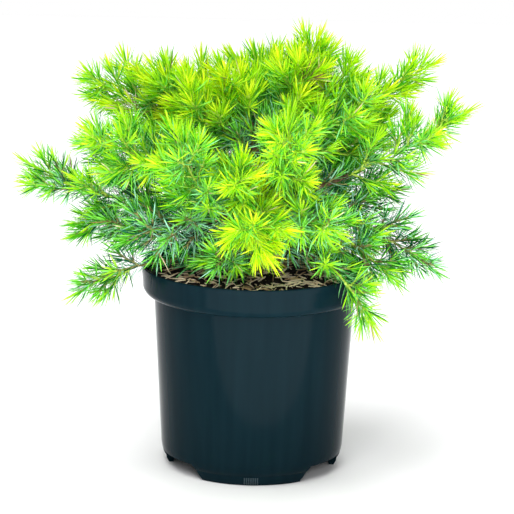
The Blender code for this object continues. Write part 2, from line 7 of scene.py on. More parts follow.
import bmesh
import bpy
import numpy as np
from mathutils import Matrix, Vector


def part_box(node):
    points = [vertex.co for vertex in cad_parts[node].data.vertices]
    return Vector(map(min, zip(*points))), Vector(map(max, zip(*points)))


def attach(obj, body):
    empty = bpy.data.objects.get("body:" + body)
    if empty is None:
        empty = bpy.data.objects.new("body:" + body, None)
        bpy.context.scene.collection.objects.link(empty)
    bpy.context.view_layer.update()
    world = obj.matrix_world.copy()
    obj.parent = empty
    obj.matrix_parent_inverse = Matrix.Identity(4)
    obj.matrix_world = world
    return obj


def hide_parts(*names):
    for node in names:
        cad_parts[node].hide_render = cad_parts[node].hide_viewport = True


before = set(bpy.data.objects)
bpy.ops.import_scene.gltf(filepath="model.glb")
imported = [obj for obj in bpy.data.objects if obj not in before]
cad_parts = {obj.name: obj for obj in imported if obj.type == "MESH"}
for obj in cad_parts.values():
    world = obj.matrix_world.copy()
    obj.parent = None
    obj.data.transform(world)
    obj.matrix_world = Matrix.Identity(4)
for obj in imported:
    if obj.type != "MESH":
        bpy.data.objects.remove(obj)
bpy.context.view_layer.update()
FOLIAGE_NODES = sorted(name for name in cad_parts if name.startswith("foliage_"))
BOUGH_NODES = sorted(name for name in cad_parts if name.startswith("bough_"))

# The pot's box gives its axis, its height and its rim.
pot_low, pot_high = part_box("pot")
AXIS = np.array(((pot_low[0] + pot_high[0]) / 2.0, (pot_low[1] + pot_high[1]) / 2.0, 0.0))
POT_HEIGHT = pot_high[2]
RIM_RADIUS = (pot_high[0] - pot_low[0]) / 2.0

# Units, turns and tolerances.
MM = 0.001
THIRD_TURN = 2.0 * math.pi / 3.0
GOLDEN_ANGLE = math.radians(137.5)
STATION_TOLERANCE = 0.0005
UPRIGHT_LIMIT = 0.05

# Pot sizes.
BODY_TOP_RADIUS = 0.0842
BODY_FOOT_RADIUS = 0.0768
FOOT_RADIUS = 0.070
WALL = 0.0018
RIM_BAND = 0.025
BASE_UNDERSIDE = 0.0135
BASE_THICKNESS = 0.002
CORNER_HEIGHT = 0.020
FOOT_RING_WIDTH = 0.004
FLOOR_ROUNDING = 0.002
FLOOR_RISE = 0.004
BAND_INSET = 0.004
BAND_SLOPE = 0.006
BAND_STEP = 0.001
POT_STEPS = 192
MERGE_DISTANCE = 0.00002
SHARP_ANGLE = math.radians(32.0)

# Points of the pot's outside, each a step inward or outward and a height.
LIP_POINTS = 8
BAND_PROFILE = ((0.0004, RIM_BAND - 0.006), (0.0012, 0.010))
SHOULDER_RADIUS = 0.0080
SHOULDER_INSET = 0.0012
SHOULDER_END = -78.0
SHOULDER_POINTS = 10
BODY_TOP_PROFILE = ((0.0006, 0.0001), (0.0, -0.0006))
CORNER_PROFILE = ((0.0003, 0.0170), (0.0012, 0.0124), (0.0030, 0.0090), (0.0036, 0.0085))
FOOT_PROFILE = ((0.0022, 0.0040), (0.0004, 0.0006), (0.0, 0.0))

# Notches between the three feet.
NOTCH_BEARINGS = (90.0, -30.0, -150.0)
NOTCH_HALF_ANGLE_GROUND = 24.0
NOTCH_HALF_ANGLE_TOP = 19.0
NOTCH_INNER_RADIUS = 0.055
NOTCH_OUTER_RADIUS = 0.090
NOTCH_FOOT = -0.010

# Ribbed tab on the front foot.
TAB_COLOUR = (0.030, 0.052, 0.062)
TAB_ROUGHNESS = 0.45
TAB_SPECULAR = 0.2
TAB_WIDTH = 0.0126
TAB_FOOT = 0.0010
TAB_PROUD = 0.0009
TAB_LEAN = 0.00198
TAB_RISE = 0.0064
TAB_RIBS = 7
RIB_GIRTH = 0.36
RIB_SIDES = 8

# The pot's plastic: drag lines along it, their gloss and their two tones.
POT_COLOUR = (0.004, 0.024, 0.034)
POT_ROUGHNESS = 0.12
POT_INDEX = 1.11
DRAG_STRETCH = (1.0, 1.0, 0.03)
DRAG_SCALE = 130.0
DRAG_DETAIL = 4.0
DRAG_ROUGHNESS = (0.08, 0.16)
DRAG_TONES = ((0.3, (0.0020, 0.0110, 0.0160, 1.0)), (0.7, (0.0034, 0.0146, 0.0205, 1.0)))
DRAG_RELIEF = 0.05
DRAG_DEPTH = 0.0002

# Growing medium.
SOIL_TOP = 0.1655
SOIL_EDGE_DROP = 0.003
SOIL_RADIUS = 0.0905
SOIL_RINGS = 60
SOIL_SPOKES = 200
SOIL_ROUGHNESS = 0.0022
SOIL_SEED = 5
SOIL_WAVES = (90.0, 210.0, 420.0, 900.0)
SOIL_WAVE_SKEW = 1.13
SOIL_SHIFTS = 4
SOIL_SHIFT_MOST = 6.0
SOIL_SMOOTH_EDGE = 0.006

# Wood shreds on the growing medium: kinds with share, colour and roughness, then sizes and places.
ShredKind = namedtuple("ShredKind", "name share colour roughness")
SHRED_KINDS = (
    ShredKind("pale_shreds", 0.7, (1.0, 0.82, 0.58), 0.75),
    ShredKind("tan_shreds", 0.3, (0.50, 0.34, 0.19), 0.80),
)
SHREDS = 520
SHRED_SPECULAR = 0.3
SHRED_MARGIN = 0.012
SHRED_WALL_MARGIN = 0.002
SHRED_LENGTHS = (0.005, 0.015)
SHRED_BOW = 0.25
SHRED_LIFTS = (0.0012, 0.0042)
SHRED_TILT = 0.28
SHRED_GIRTHS = (0.0004, 0.0008)
SHRED_POINTS = 6
SHRED_SIDES = 4
GRAIN_RELIEF = 0.3

# Crumbs of peat.
CRUMBS = 1500
CRUMB_MARGIN = 0.004
CRUMB_SIZES = (0.0005, 0.0014)
CRUMB_LIFT = 0.0016
CRUMB_TILT = 0.4
CRUMB_GIRTHS = (0.5, 0.9, 0.4)
CRUMB_SIDES = 5

# Stem and boughs, as in the solids.
GAP = 0.0003
STEM_HEIGHT = 0.115
STEM_LEAN = (0.010, -0.004)
STEM_FLARE_RADIUS = 0.0125
STEM_LOW_RADIUS = 0.0085
STEM_TOP_RADIUS = 0.0040
STEM_FLARE_HEIGHT = 0.014
BOUGH_ROOT_RADIUS = 0.0026
BOUGH_TIP_RADIUS = 0.0017
LEAVING_LEAD = 0.40
ARRIVING_LEAD = 0.36
PATH_STEPS = 48

# Bark.
STEM_SIDES = 28
BOUGH_SIDES = 14
BARK_STEP = 0.0018
BARK_RELIEF = 0.10
STEM_SEED = 1
RIDGE_SHARE = 0.6

# Side shoots: how they shorten, where they leave, how far they lean out and how they bend.
TAPER_SHARE = 0.45
LENGTH_SPREAD = (0.86, 1.14)
LEAVE_ANGLES = (48.0, 60.0)
LEAVE_CLOSING = 14.0
BEND_AHEAD = 0.25
BEND_UP = 0.22
BEND_STRENGTH = 1.2
SHOOT_STATIONS = 9
PLACE_SPREAD = (0.1, 0.5)
LAST_SHOOT_SHARE = 0.86
TURN_SPREAD = 0.25
TIP_STRETCH = 0.034
TIP_SHOOT_SHARE = 0.45

# Sprays of a limb: the room they keep from the pot, their kinds, how old they look and how far painted
# shade darkens the inner shoots and sprigs.
RIM_ROOM = 0.004
RIM_INNER_ROOM = 0.010
POT_ROOM = 0.006
BUD_LENGTH = 0.011
SHOOT_REACH = 0.004
SHOOT_BARE = 0.003
FIRST_SHOOT_SHARE = 0.05
SPARE_SEED = 500
SPARE_SHOOTS = 8
SPARE_LENGTH = 0.78
SPARE_TONES = (-0.20, 0.16)
INNER_SHOOTS = 10
INNER_START = 0.25
INNER_LENGTH = 0.85
INNER_TONE = 0.45
# Painted shade: the inner shoots' tone is lowered by this much, so their needles take darker colours for
# the shade inside the crown.
INNER_SHADE = 0.15
SPRIGS = 4
SPRIG_START = 0.15
SPRIG_LENGTH = 0.52
SPRIG_BARE = 0.002
# Painted shade: a sprig's tone is lowered by this much below its shoot's, so its needles take darker
# colours.
SPRIG_SHADE = 0.06
DRY_SHARE = 0.03
INNER_DRY_SHARE = 3.0 * DRY_SHARE

# Whorls along a spray: how they stand, how long their needles are and what tone they take.
OLD_WHORL_SPACING = 0.0034
YOUNG_WHORL_SPACING = 0.0021
NEEDLE_TIP_ANGLE = math.radians(19.0)
NEEDLE_ROOT_ANGLE = math.radians(67.0)
NEEDLE_CLOSING = 0.018
OLD_CLOSING = 0.5
NEEDLE_LENGTH = 0.0165
LENGTH_FOOT = 0.78
LENGTH_SWELL = 0.30
SWELL_STRETCH = 1.05
NEEDLE_SPREAD = (0.86, 1.10)
TURN_WANDER = 0.22
LEAN_WANDER = 0.14
SPRAY_TONE = 0.62
TIP_TONE = 0.52
TIP_TONE_POWER = 1.3
TONE_WANDER = 0.07
TONE_STEPS = (0.10, 0.32, 0.50, 0.72, 0.96)
DEAD_NEEDLES = 0.008
DEAD_NEEDLES_DRY = 0.55
DRY_STRETCH = 0.7

# One needle: rings by share of its length and of its width, its keel, its bend and the room it keeps.
NEEDLE_WIDTH = 0.00120
NEEDLE_KEEL = 0.30
NEEDLE_RINGS = ((0.0, 0.55), (0.34, 1.0), (0.74, 0.72))
NEEDLE_BEND_UP = 0.16
NEEDLE_BEND_IN = 0.05
NEEDLE_ROOM = 0.0008
NEEDLE_SAMPLES = (0.0, 0.35, 0.7, 1.0)
NEEDLE_VERTS = 10
NEEDLE_TRIANGLES = 15
PIECE_TRIANGLES = 190000
NEEDLE_ROUGHNESS = 0.5
NEEDLE_SPECULAR = 0.10

# Twigs that carry the needles: name, slot and the two tones of their bark.
TWIG_KINDS = (
    ("young_twigs", "young_needles", (0.34, 0.52, 0.03), (0.60, 0.74, 0.14)),
    ("old_twigs", "bark", (0.16, 0.15, 0.04), (0.46, 0.42, 0.16)),
)
TWIG_ROOT_RADIUS = 0.0011
TWIG_TIP_RADIUS = 0.0006
TWIG_STEP = 0.006
TWIG_SIDES = 5
TWIG_RELIEF = 0.05
YOUNG_TWIG_TONE = 0.38

# Mottled surfaces: tones, size and depth of the mottling, stretch of its grain.
Mottling = namedtuple("Mottling", "dark light scale roughness detail relief stretch")
EVEN = (1.0, 1.0, 1.0)
BARK = Mottling((0.035, 0.018, 0.010), (0.26, 0.15, 0.085), 160.0, 0.85, 8.0, 0.8, (1.0, 1.0, 0.25))
PEAT = Mottling((0.003, 0.0015, 0.001), (0.012, 0.006, 0.003), 900.0, 0.95, 8.0, 1.0, EVEN)
TWIG_SCALE = 220.0
TWIG_ROUGHNESS = 0.7
TWIG_DETAIL = 6.0
MOTTLE_SPECULAR = 0.4
MOTTLE_FROM = 0.35
MOTTLE_TO = 0.68
MOTTLE_DEPTH = 0.0005

# Floor and surround.
FLOOR_SIZE = 5.0
FLOOR_COLOUR = (0.93, 0.93, 0.935)
FLOOR_ROUGHNESS = 0.9
FLOOR_SPECULAR = 0.1
WHITE = (1.0, 1.0, 1.0, 1.0)
SOFT_STRENGTH = 0.28

# Soft boxes: where each stands and shines to, its width and depth, and its power.
PLANT_MIDDLE = (0.0, 0.0, 0.22)
SoftBox = namedtuple("SoftBox", "name place target size power")
SOFT_BOXES = (
    SoftBox("top_box", (-0.7, -0.8, 3.9), PLANT_MIDDLE, (2.4, 2.4), 118.0),
    SoftBox("back_box", (0.2, 2.2, 2.6), (0.0, 1.6, 0.0), (3.0, 2.4), 60.0),
    SoftBox("front_box", (-0.5, -2.3, 2.3), PLANT_MIDDLE, (1.2, 1.0), 36.0),
    SoftBox("low_box", (0.3, -2.5, 1.0), PLANT_MIDDLE, (0.9, 0.7), 20.0),
)

# Light on the ground in front of the pot: its place, half the width it lights, its edge and its power.
PATCH_LIGHT = (0.25, -1.27, 2.0)
PATCH_HALF_WIDTH = 1.1
PATCH_ANGLE = 2.0 * math.atan(PATCH_HALF_WIDTH / PATCH_LIGHT[2])
PATCH_BLEND = 0.04
PATCH_SOFTNESS = 0.01
PATCH_POWER = 620.0

# Camera, as distances from the pot's axis and the ground, and its turns in radians.
CAMERA_BACK = 2.4455
CAMERA_HEIGHT = 0.7459
CAMERA_PITCH = 0.22801
CAMERA_TURN = 0.0007
CAMERA_ROLL = 0.0182
CAMERA_LENS = 209.6
SENSOR = 36.0

# The limbs of the solids: where each tip lies, how its path leaves and arrives, and what grows on it.
LIMB_FIELDS = "name bearing reach height leave rise fall turn bare shoots length tone seed"
Limb = namedtuple("Limb", LIMB_FIELDS)
LIMBS = (
    Limb("left_arm", -176, 198, 98, 56, 3, 38, 0, 0.42, 6, 40, 0.45, 11),
    Limb("left_under", -177, 158, 40, 21, 4, -6, 0, 0.45, 5, 36, 0.3, 41),
    Limb("left_droop", -163, 160, -16, 16, -5, -40, 0, 0.56, 3, 24, 0.35, 12),
    Limb("left_crest", 173, 152, 158, 61, 43, 8, 0, 0.45, 6, 44, 0.7, 13),
    Limb("left_front", -150, 164, 138, 71, 20, 36, 0, 0.42, 6, 44, 0.7, 14),
    Limb("left_top", 176, 92, 180, 86, 60, 66, 0, 0.4, 6, 46, 0.85, 15),
    Limb("left_inner", -140, 66, 172, 98, 36, 34, 120, 0.36, 4, 38, 0.85, 16),
    Limb("left_back", 160, 160, 100, 46, 19, 22, 0, 0.42, 5, 42, 0.35, 17),
    Limb("left_low", -151, 126, 40, 42, 9, -8, 0, 0.4, 5, 40, 0.25, 18),
    Limb("front_left", -122, 124, 146, 32, 23, 70, 0, 0.4, 6, 42, 0.55, 19),
    Limb("front_upper", -88, 118, 140, 70, 18, -4, -88, 0.4, 5, 40, 0.75, 20),
    Limb("front_middle", -87, 110, 106, 50, 38, 12, 84, 0.36, 5, 38, 0.8, 21),
    Limb("front_bright", -84, 132, 38, 37, 43, -42, 52, 0.36, 6, 38, 1.0, 22),
    Limb("front_right", -55, 130, 54, 23, 38, -22, 26, 0.36, 5, 40, 0.5, 23),
    Limb("front_low", -112, 92, 22, 14, 16, -10, 0, 0.4, 3, 28, 0.35, 24),
    Limb("top_left", -160, 46, 176, 106, 52, 30, -10, 0.34, 4, 36, 0.9, 25),
    Limb("top_middle", -47, 34, 190, 110, 68, 20, -120, 0.3, 5, 38, 0.85, 26),
    Limb("top_peak", 12, 54, 206, 106, 33, 56, 30, 0.3, 5, 38, 0.9, 27),
    Limb("top_right", -6, 86, 188, 99, 22, 46, 0, 0.32, 5, 38, 0.75, 42),
    Limb("right_edge", -24, 112, 160, 80, 33, 24, 0, 0.34, 5, 38, 0.65, 28),
    Limb("right_wisp", 13, 158, 178, 89, 26, 26, 0, 0.56, 3, 22, 0.8, 29),
    Limb("right_arm", -10, 182, 150, 56, 18, 32, 0, 0.42, 6, 34, 0.6, 30),
    Limb("right_back", 19, 122, 138, 71, 28, 56, 0, 0.42, 5, 34, 0.7, 31),
    Limb("right_low", 17, 132, 66, 26, 19, -4, 0, 0.4, 5, 34, 0.3, 32),
    Limb("right_droop", -8, 158, 4, 41, 33, -34, 0, 0.4, 6, 34, 0.15, 33),
    Limb("right_hang", -21, 132, -2, 34, 26, -44, 0, 0.4, 4, 30, 0.4, 43),
    Limb("rim_droop", -43, 136, -30, 18, 30, -62, 0, 0.46, 4, 24, 0.5, 34),
    Limb("back_left", 132, 140, 118, 58, 30, 30, 0, 0.4, 5, 44, 0.45, 35),
    Limb("back_middle", 92, 138, 132, 74, 30, 32, 0, 0.4, 5, 46, 0.6, 36),
    Limb("back_right", 48, 140, 120, 52, 30, 28, 0, 0.4, 5, 44, 0.5, 37),
    Limb("back_low_left", 115, 140, 46, 30, 22, -6, 0, 0.4, 5, 42, 0.3, 38),
    Limb("back_low_right", 62, 142, 44, 24, 22, -8, 0, 0.4, 5, 42, 0.3, 39),
    Limb("back_top", 88, 66, 182, 98, 46, 44, 0, 0.34, 5, 42, 0.8, 40),
)

# Needle colours from old to young, the old end also darkened as painted shade: the outer face, then the
# paler upper face.
NeedleColour = namedtuple("NeedleColour", "name outer upper")
NEEDLE_COLOURS = (
    # Painted shade: the near-black deep colour stands in for the shade on the oldest, inner needles.
    NeedleColour("deep", (0.002, 0.026, 0.009), (0.045, 0.200, 0.090)),
    NeedleColour("teal", (0.010, 0.120, 0.060), (0.360, 0.760, 0.520)),
    NeedleColour("green", (0.010, 0.150, 0.014), (0.230, 0.660, 0.240)),
    NeedleColour("fresh", (0.070, 0.400, 0.007), (0.260, 0.760, 0.090)),
    NeedleColour("lime", (0.320, 0.720, 0.003), (0.500, 0.880, 0.030)),
    NeedleColour("gold", (0.540, 0.780, 0.002), (0.740, 0.920, 0.030)),
    NeedleColour("dry", (0.300, 0.190, 0.080), (0.760, 0.640, 0.400)),
)
DRY = len(NEEDLE_COLOURS) - 1


def unit(vector):
    """Return the vector at length one."""
    return vector / np.linalg.norm(vector)


def aim(bearing, slope):
    """Return the direction with a bearing and a slope above the level, both in degrees."""
    turn = math.radians(bearing)
    lift = math.radians(slope)
    level = math.cos(lift)
    return np.array((math.cos(turn) * level, math.sin(turn) * level, math.sin(lift)))


def lengths_along(points):
    """Return the length from the start to each point of a polyline."""
    return np.concatenate(([0.0], np.cumsum(np.linalg.norm(np.diff(points, axis=0), axis=1))))


def resample(points, step):
    """Return the polyline with even stations about one step apart."""
    lengths = lengths_along(points)
    count = max(1, round(lengths[-1] / step))
    stations = np.linspace(0.0, lengths[-1], count + 1)
    return np.stack([np.interp(stations, lengths, points[:, axis]) for axis in range(3)], axis=1)


def cut_path(points, start, end):
    """Return the stretch of a polyline between two lengths measured from its start."""
    lengths = lengths_along(points)
    inside = lengths[(lengths > start + STATION_TOLERANCE) & (lengths < end - STATION_TOLERANCE)]
    stations = np.concatenate(([start], inside, [end]))
    return np.stack([np.interp(stations, lengths, points[:, axis]) for axis in range(3)], axis=1)


def stem_centre(height):
    """Return the stem's centre at a height above the growing medium."""
    share = height / STEM_HEIGHT
    return np.array((STEM_LEAN[0] * share**2, STEM_LEAN[1] * share**2, SOIL_TOP + GAP + height))


def stem_radius(height):
    """Return the stem's radius at a height above the growing medium."""
    flare = max(0.0, 1.0 - height / STEM_FLARE_HEIGHT) ** 2
    taper = STEM_LOW_RADIUS + (STEM_TOP_RADIUS - STEM_LOW_RADIUS) * height / STEM_HEIGHT
    return taper + (STEM_FLARE_RADIUS - STEM_LOW_RADIUS) * flare


def limb_path(limb):
    """Return the curve of a limb from the stem's centre to its tip."""
    start = stem_centre(limb.leave * MM)
    tip = aim(limb.bearing, 0.0) * limb.reach * MM
    tip[2] = SOIL_TOP + limb.height * MM
    span = np.linalg.norm(tip - start)
    leaving = start + aim(limb.bearing, limb.rise) * span * LEAVING_LEAD
    arriving = tip - aim(limb.bearing + limb.turn, limb.fall) * span * ARRIVING_LEAD
    shares = np.linspace(0.0, 1.0, PATH_STEPS + 1)[:, None]
    rest = 1.0 - shares
    return (
        rest**3 * start
        + 3.0 * rest**2 * shares * leaving
        + 3.0 * rest * shares**2 * arriving
        + shares**3 * tip
    )


def shoot_frames(path):
    """Return tangents and a steady pair of side directions along a polyline."""
    tangents = np.gradient(path, axis=0)
    tangents /= np.linalg.norm(tangents, axis=1)[:, None]
    side = np.cross(tangents[0], (0.0, 0.0, 1.0))
    if np.linalg.norm(side) < UPRIGHT_LIMIT:
        side = np.cross(tangents[0], (1.0, 0.0, 0.0))
    sides = []
    for tangent in tangents:
        side = unit(side - tangent * np.dot(side, tangent))
        sides.append(side)
    sides = np.array(sides)
    return tangents, sides, np.cross(tangents, sides)


def side_shoot(start, axes, share, length, turn, rng):
    """Return the curve of one shoot that leaves a longer one."""
    tangent, side, other = axes
    length = length * (1.0 - TAPER_SHARE * share) * rng.uniform(*LENGTH_SPREAD)
    out = side * math.cos(turn) + other * math.sin(turn)
    leave = math.radians(rng.uniform(*LEAVE_ANGLES) - LEAVE_CLOSING * share)
    first = tangent * math.cos(leave) + out * math.sin(leave)
    bend = unit(first + tangent * BEND_AHEAD + np.array((0.0, 0.0, BEND_UP)))
    steps = np.linspace(0.0, 1.0, SHOOT_STATIONS)[:, None]
    return start + length * (steps * first + 0.5 * steps**2 * (bend - first) * BEND_STRENGTH)


def side_shoots(leader, first_leaf, leafy, count, length, rng):
    """Return shoots that leave a leader one after another, each turned on from the last."""
    tangents, sides, others = shoot_frames(leader)
    lengths = lengths_along(leader)
    shoots = []
    turn = rng.uniform(0.0, 2.0 * math.pi)
    for number in range(count):
        share = (number + rng.uniform(*PLACE_SPREAD)) / count * LAST_SHOOT_SHARE
        place = int(np.searchsorted(lengths, first_leaf + share * leafy))
        place = min(place, len(leader) - 2)
        turn += GOLDEN_ANGLE + rng.uniform(-TURN_SPREAD, TURN_SPREAD)
        left_over = min(1.0, (lengths[-1] - lengths[place]) / TIP_STRETCH)
        size = length * (TIP_SHOOT_SHARE + (1.0 - TIP_SHOOT_SHARE) * left_over)
        axes = (tangents[place], sides[place], others[place])
        shoots.append(side_shoot(leader[place], axes, share, size, turn, rng))
    return shoots


# A spray is one needled shoot: its path, its bare length, its tone from old to young, lowered as painted
# shade on inner shoots and sprigs, and whether it is dry.
Spray = namedtuple("Spray", "path bare tone dry")


def above_pot(path):
    """Return whether a shoot stays clear of the growing medium and of the pot's rim."""
    across = np.hypot(path[:, 0], path[:, 1])
    over = across < RIM_RADIUS + RIM_ROOM
    rim = over & (across > RIM_RADIUS - RIM_INNER_ROOM)
    if np.any(rim & (path[:, 2] < POT_HEIGHT + POT_ROOM)):
        return False
    return not np.any(over & (path[:, 2] < SOIL_TOP + POT_ROOM))


def grown_on(path):
    """Return a shoot with a little more length at its end, where its last needles stand."""
    end = path[-1] + unit(path[-1] - path[-2]) * SHOOT_REACH
    return np.vstack((path, end))


def limb_sprays(limb):
    """Return all the sprays of one limb: leader, inner shoots, side shoots, spare shoots and sprigs."""
    rng = random.Random(limb.seed)
    spare_rng = random.Random(limb.seed + SPARE_SEED)
    path = limb_path(limb)
    total = lengths_along(path)[-1] - BUD_LENGTH
    split = total * limb.bare
    leader = cut_path(path, split, total)
    leafy = total - split
    length = limb.length * MM
    main = side_shoots(leader, FIRST_SHOOT_SHARE * leafy, leafy, limb.shoots, length, rng)
    spare = side_shoots(leader, 0.0, leafy, SPARE_SHOOTS, length * SPARE_LENGTH, spare_rng)
    sprays = [Spray(grown_on(leader), 0.0, limb.tone, False)]
    inner = cut_path(path, split * INNER_START, split)
    # Inner shoots are older, and their tone is also lowered by INNER_SHADE as painted shade for the inside
    # of the crown.
    inner_tone = limb.tone * INNER_TONE - INNER_SHADE
    inner_leafy = split * (1.0 - INNER_START)
    for shoot in side_shoots(inner, 0.0, inner_leafy, INNER_SHOOTS, length * INNER_LENGTH, spare_rng):
        if above_pot(shoot):
            dry = spare_rng.random() < INNER_DRY_SHARE
            sprays.append(Spray(shoot, SHOOT_BARE, inner_tone, dry))
    for shoot in main + spare:
        if not above_pot(shoot):
            continue
        tone = limb.tone + spare_rng.uniform(*SPARE_TONES)
        dry = spare_rng.random() < DRY_SHARE
        sprays.append(Spray(grown_on(shoot), SHOOT_BARE, tone, dry))
        sprays += sprigs(shoot, tone, dry, spare_rng)
    return sprays


def sprigs(shoot, tone, dry, rng):
    """Return the small sprays that leave one shoot."""
    length = lengths_along(shoot)[-1]
    paths = side_shoots(shoot, SPRIG_START * length, length, SPRIGS, length * SPRIG_LENGTH, rng)
    # Painted shade: sprigs take their shoot's tone lowered by SPRIG_SHADE, so darker needle colours.
    return [Spray(path, SPRIG_BARE, tone - SPRIG_SHADE, dry) for path in paths if above_pot(path)]


def colour_class(tone):
    """Return the number of the needle colour for a tone from 0, old, to 1, young; painted shade lowers the
    tone of inner shoots and sprigs.
    """
    return sum(tone > step for step in TONE_STEPS)


# A needle: its root, the ways it grows, out from the twig and along it, its length and its colour's number.
Needle = namedtuple("Needle", "root ahead out along length kind")


def spray_needles(spray, number):
    """Return the needles of a spray, whorl by whorl from its root to its tip."""
    rng = np.random.RandomState(number)
    young = min(1.0, max(0.0, spray.tone))
    spacing = OLD_WHORL_SPACING + (YOUNG_WHORL_SPACING - OLD_WHORL_SPACING) * young
    stations = resample(spray.path, spacing)
    tangents, sides, others = shoot_frames(stations)
    lengths = lengths_along(stations)
    fade = NEEDLE_CLOSING * (OLD_CLOSING + young)
    needles = []
    for place in range(len(stations)):
        if lengths[place] < spray.bare:
            continue
        share = lengths[place] / lengths[-1]
        closing = math.exp(-(lengths[-1] - lengths[place]) / fade)
        lean = NEEDLE_ROOT_ANGLE + (NEEDLE_TIP_ANGLE - NEEDLE_ROOT_ANGLE) * closing
        tone = spray.tone * SPRAY_TONE + TIP_TONE * share**TIP_TONE_POWER
        fresh_kind = colour_class(tone + rng.uniform(-TONE_WANDER, TONE_WANDER))
        swell = math.sin(math.pi * min(1.0, share * SWELL_STRETCH))
        size = NEEDLE_LENGTH * (LENGTH_FOOT + LENGTH_SWELL * swell)
        dead_share = DEAD_NEEDLES_DRY if spray.dry and share < DRY_STRETCH else DEAD_NEEDLES
        for corner in range(3):
            turn = corner * THIRD_TURN + place * THIRD_TURN / 2.0 + rng.uniform(-TURN_WANDER, TURN_WANDER)
            out = sides[place] * math.cos(turn) + others[place] * math.sin(turn)
            angle = lean + rng.uniform(-LEAN_WANDER, LEAN_WANDER)
            kind = DRY if rng.uniform() < dead_share else fresh_kind
            ahead = tangents[place] * math.cos(angle) + out * math.sin(angle)
            root = stations[place] + out * TWIG_TIP_RADIUS
            length = size * rng.uniform(*NEEDLE_SPREAD)
            needles.append(Needle(root, ahead, out, tangents[place], length, kind))
    return needles


def clear_of_pot(needles):
    """Return the needles that stay out of the pot's wall and the growing medium along their length."""
    if not needles:
        return needles
    roots = np.array([needle.root for needle in needles])
    reach = np.array([needle.ahead * needle.length for needle in needles])
    clear = np.ones(len(needles), dtype=bool)
    for share in NEEDLE_SAMPLES:
        points = roots + reach * share
        across = np.hypot(points[:, 0], points[:, 1])
        over = across < RIM_RADIUS + NEEDLE_ROOM
        wall = over & (across > RIM_RADIUS - WALL - NEEDLE_ROOM)
        clear &= ~(over & (points[:, 2] < SOIL_TOP + NEEDLE_ROOM))
        clear &= ~(wall & (points[:, 2] < POT_HEIGHT + NEEDLE_ROOM))
    return [needle for needle, kept in zip(needles, clear) if kept]


def needle_meshes(needles):
    """Return vertices, triangles and finish numbers of many keeled needles."""
    roots = np.array([needle.root for needle in needles])
    ahead = np.array([needle.ahead for needle in needles])
    outs = np.array([needle.out for needle in needles])
    along = np.array([needle.along for needle in needles])
    sizes = np.array([needle.length for needle in needles])[:, None]
    across = np.cross(along, outs)
    upper = np.cross(ahead, across)
    upper *= np.sign(np.einsum("ij,ij->i", upper, along))[:, None]
    bend = along * NEEDLE_BEND_UP - outs * NEEDLE_BEND_IN
    verts = np.empty((len(needles), NEEDLE_VERTS, 3))
    for ring, (share, girth) in enumerate(NEEDLE_RINGS):
        centre = roots + sizes * (ahead * share + bend * share**2)
        half = NEEDLE_WIDTH * girth / 2.0
        verts[:, ring * 3] = centre - across * half
        verts[:, ring * 3 + 1] = centre + across * half
        verts[:, ring * 3 + 2] = centre - upper * NEEDLE_WIDTH * NEEDLE_KEEL * girth
    verts[:, -1] = roots + sizes * (ahead + bend)
    pattern, finish = needle_pattern()
    tris = pattern[None, :, :] + NEEDLE_VERTS * np.arange(len(needles))[:, None, None]
    return verts.reshape(-1, 3), tris.reshape(-1, 3), np.tile(finish, len(needles))


def needle_pattern():
    """Return the triangles of one needle and their finish: 1 on its upper face, 0 elsewhere."""
    pattern = []
    finish = []
    for ring in (0, 3):
        for first, second in ((0, 1), (1, 2), (2, 0)):
            low, high = ring + first, ring + second
            pattern += [(low, high, high + 3), (low, high + 3, low + 3)]
            finish += [int(second == 1)] * 2
    pattern += [(6, 7, 9), (7, 8, 9), (8, 6, 9)]
    finish += [1, 0, 0]
    return np.array(pattern), np.array(finish, dtype=np.int32)


def mesh_object(name, verts, tris, materials, finish=None, smooth=False):
    """Return an object made of triangles, placed on the pot's axis."""
    data = bpy.data.meshes.new(name)
    data.vertices.add(len(verts))
    data.vertices.foreach_set("co", (np.asarray(verts) + AXIS).astype(np.float32).ravel())
    data.loops.add(3 * len(tris))
    data.loops.foreach_set("vertex_index", np.asarray(tris, dtype=np.int32).ravel())
    data.polygons.add(len(tris))
    data.polygons.foreach_set("loop_start", np.arange(0, 3 * len(tris), 3, dtype=np.int32))
    if finish is not None:
        data.polygons.foreach_set("material_index", np.asarray(finish, dtype=np.int32))
    data.polygons.foreach_set("use_smooth", np.full(len(tris), smooth))
    for material in materials:
        data.materials.append(material)
    data.update(calc_edges=True)
    obj = bpy.data.objects.new(name, data)
    bpy.context.scene.collection.objects.link(obj)
    return obj


def tube_mesh(path, radii, sides, relief, seed):
    """Return vertices and triangles of a round tube with closed ends and a rough surface."""
    rng = np.random.RandomState(seed)
    _, first, second = shoot_frames(path)
    count = len(path)
    turns = np.arange(sides) * 2.0 * math.pi / sides
    ridge = rng.uniform(-1.0, 1.0, sides)
    bumps = RIDGE_SHARE * ridge[None, :] + (1.0 - RIDGE_SHARE) * rng.uniform(-1.0, 1.0, (count, sides))
    reach = np.asarray(radii)[:, None] * (1.0 + relief * bumps)
    ring = first[:, None, :] * np.cos(turns)[None, :, None]
    ring = ring + second[:, None, :] * np.sin(turns)[None, :, None]
    verts = path[:, None, :] + ring * reach[:, :, None]
    verts = np.vstack((verts.reshape(-1, 3), path[:1], path[-1:]))
    tris = []
    for place in range(count - 1):
        for corner in range(sides):
            low = place * sides + corner
            onward = place * sides + (corner + 1) % sides
            tris.append((low, onward, onward + sides))
            tris.append((low, onward + sides, low + sides))
    start, end = count * sides, count * sides + 1
    for corner in range(sides):
        onward = (corner + 1) % sides
        tris.append((onward, corner, start))
        tris.append(((count - 1) * sides + corner, (count - 1) * sides + onward, end))
    return verts, np.array(tris)


